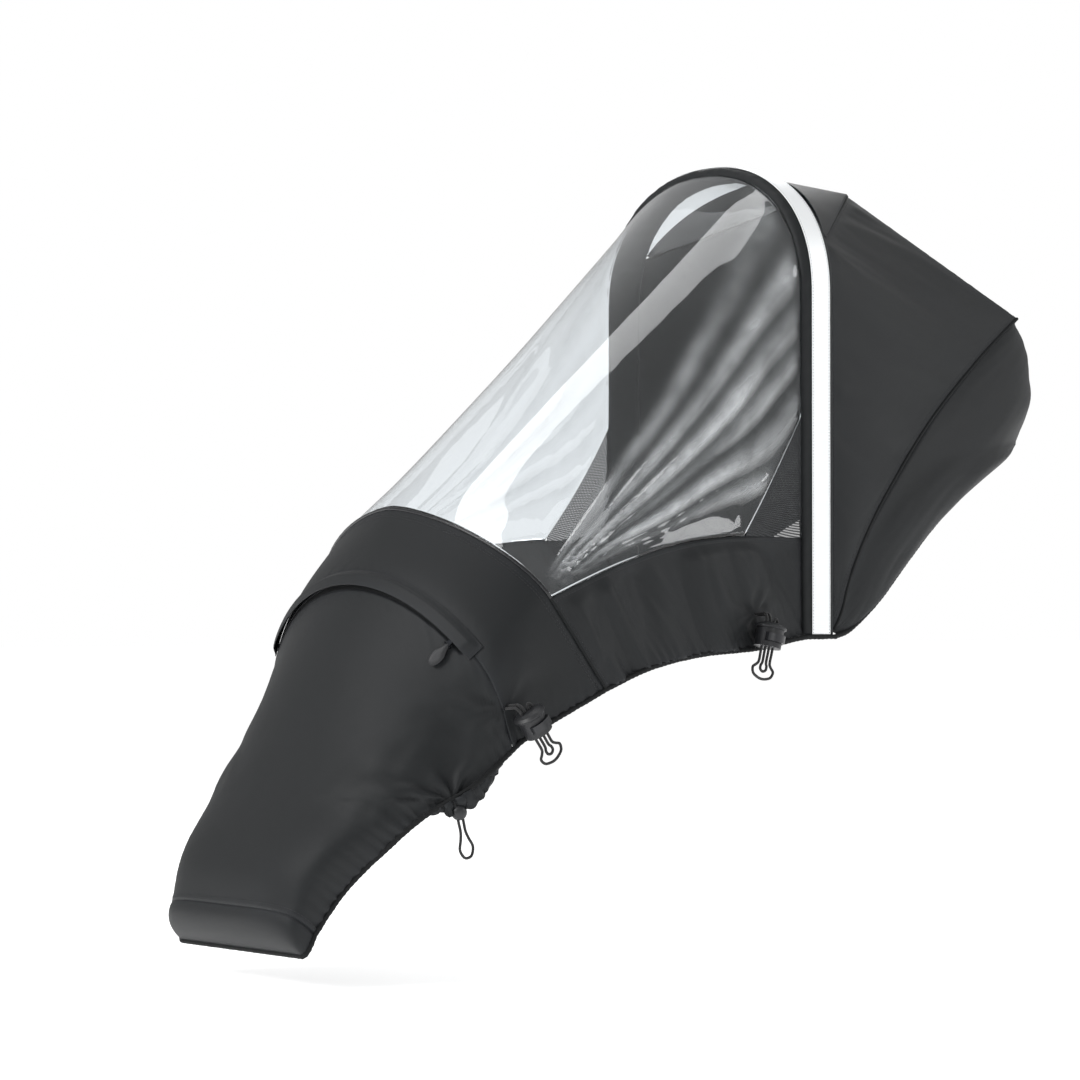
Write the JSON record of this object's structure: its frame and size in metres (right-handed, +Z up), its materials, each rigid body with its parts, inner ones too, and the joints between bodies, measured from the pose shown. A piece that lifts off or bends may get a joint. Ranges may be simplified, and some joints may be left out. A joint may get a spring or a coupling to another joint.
{
  "type": "child bicycle trailer weather cover",
  "caption": "Soft weather cover for a reclined single-seat child bicycle trailer: hoop, clear window, leg cover with foot pocket and zip, hood, mesh vents, elastic hem with cord locks",
  "frame": {"origin": "midway between the lower ends of the hoop, at the height of the hem, where the cover sits on the trailer's frame", "axes": "X to the child's left, across the plane of symmetry, -Y forwards to the feet, Z up"},
  "size_m": [0.5018, 1.0905, 0.8374],
  "materials": {
    "cloth": "coated woven cloth, charcoal",
    "foil": "clear soft plastic foil",
    "mesh": "fine grey mesh",
    "reflective": "silver-white reflective tape",
    "rod": "drawn rod",
    "binding": "woven binding tape",
    "elastic": "elastic hem under woven tape",
    "zip_tape": "woven zip tape",
    "zip_teeth": "moulded teeth",
    "zip_slider": "black lacquered die-cast",
    "zip_pull": "soft moulded pull",
    "hard_plastic": "moulded black plastic",
    "button_plastic": "smooth dark grey plastic",
    "spring": "steel wire",
    "cord": "braided elastic cord"
  },
  "bodies": {
    "cover": {"leg_cover_lower": "cloth", "leg_cover_upper": "cloth", "foot_cap": "cloth", "side_panel_left": "cloth", "side_panel_right": "cloth", "window_front": "foil", "window_roof": "foil", "vent_mesh_left": "mesh", "vent_mesh_right": "mesh", "hood_side_left": "cloth", "hood_side_right": "cloth", "hood_top": "cloth", "hood_back_left": "cloth", "hood_back_right": "cloth", "hoop_rod": "rod", "hoop_socket_left": "hard_plastic", "hoop_socket_right": "hard_plastic", "hoop_sleeve": "cloth", "reflective_strip": "reflective", "knee_binding": "binding", "leg_piping_left": "binding", "leg_piping_right": "binding", "hood_piping_left": "binding", "hood_piping_right": "binding", "hood_binding": "binding", "hem_elastic": "elastic", "zip_tape_upper": "zip_tape", "zip_tape_lower": "zip_tape", "zip_chain_upper": "zip_teeth", "zip_chain_lower": "zip_teeth", "zip_stops": "zip_teeth", "zip_flap": "cloth", "cord_eyelets": "hard_plastic", "cord_rear_left": "cord", "cord_front_left": "cord", "cord_ball_left": "cord", "cord_rear_right": "cord", "cord_front_right": "cord", "cord_ball_right": "cord"},
    "slider": {"zip_slider": "zip_slider"},
    "pull": {"zip_pull": "zip_pull"},
    "lock_rear_left": {"lock_rear_left": "hard_plastic", "spring_rear_left": "spring"},
    "button_rear_left": {"button_rear_left": "button_plastic"},
    "lock_front_left": {"lock_front_left": "hard_plastic", "spring_front_left": "spring"},
    "button_front_left": {"button_front_left": "button_plastic"},
    "ball_left": {"ball_left": "hard_plastic"},
    "lock_rear_right": {"lock_rear_right": "hard_plastic", "spring_rear_right": "spring"},
    "button_rear_right": {"button_rear_right": "button_plastic"},
    "lock_front_right": {"lock_front_right": "hard_plastic", "spring_front_right": "spring"},
    "button_front_right": {"button_front_right": "button_plastic"},
    "ball_right": {"ball_right": "hard_plastic"}
  },
  "joints": [
    {"name": "zip_run", "type": "hinge", "parent": "cover", "child": "slider", "pos_m": [0, -0.40452, -0.18591], "axis": [0, -0.9531, -0.3027], "range_deg": [0, 80]},
    {"name": "pull_swing", "type": "hinge", "parent": "slider", "child": "pull", "pos_m": [0.16046, -0.47394, -0.00732], "axis": [-0.766, -0.1946, 0.6126], "range_deg": [0, 80]},
    {"name": "lock_rear_left_slide", "type": "slide", "parent": "cover", "child": "lock_rear_left", "axis": [0, -0.2419, -0.9703], "range_m": [0, 0.012]},
    {"name": "button_rear_left_press", "type": "slide", "parent": "lock_rear_left", "child": "button_rear_left", "axis": [-1, 0, 0], "range_m": [0, 0.0035], "stiffness_N_per_m": 300, "springref_m": -0.002, "deforming": ["spring_rear_left"]},
    {"name": "lock_front_left_slide", "type": "slide", "parent": "cover", "child": "lock_front_left", "axis": [0, 0.5736, -0.8192], "range_m": [0, 0.012]},
    {"name": "button_front_left_press", "type": "slide", "parent": "lock_front_left", "child": "button_front_left", "axis": [-1, 0, 0], "range_m": [0, 0.0035], "stiffness_N_per_m": 300, "springref_m": -0.002, "deforming": ["spring_front_left"]},
    {"name": "ball_left_slide", "type": "slide", "parent": "cover", "child": "ball_left", "axis": [0, 0.2419, -0.9703], "range_m": [0, 0.01]},
    {"name": "lock_rear_right_slide", "type": "slide", "parent": "cover", "child": "lock_rear_right", "axis": [0, -0.2419, -0.9703], "range_m": [0, 0.012]},
    {"name": "button_rear_right_press", "type": "slide", "parent": "lock_rear_right", "child": "button_rear_right", "axis": [1, 0, 0], "range_m": [0, 0.0035], "stiffness_N_per_m": 300, "springref_m": -0.002, "deforming": ["spring_rear_right"]},
    {"name": "lock_front_right_slide", "type": "slide", "parent": "cover", "child": "lock_front_right", "axis": [0, 0.5736, -0.8192], "range_m": [0, 0.012]},
    {"name": "button_front_right_press", "type": "slide", "parent": "lock_front_right", "child": "button_front_right", "axis": [1, 0, 0], "range_m": [0, 0.0035], "stiffness_N_per_m": 300, "springref_m": -0.002, "deforming": ["spring_front_right"]},
    {"name": "ball_right_slide", "type": "slide", "parent": "cover", "child": "ball_right", "axis": [0, 0.2419, -0.9703], "range_m": [0, 0.01]}
  ]
}
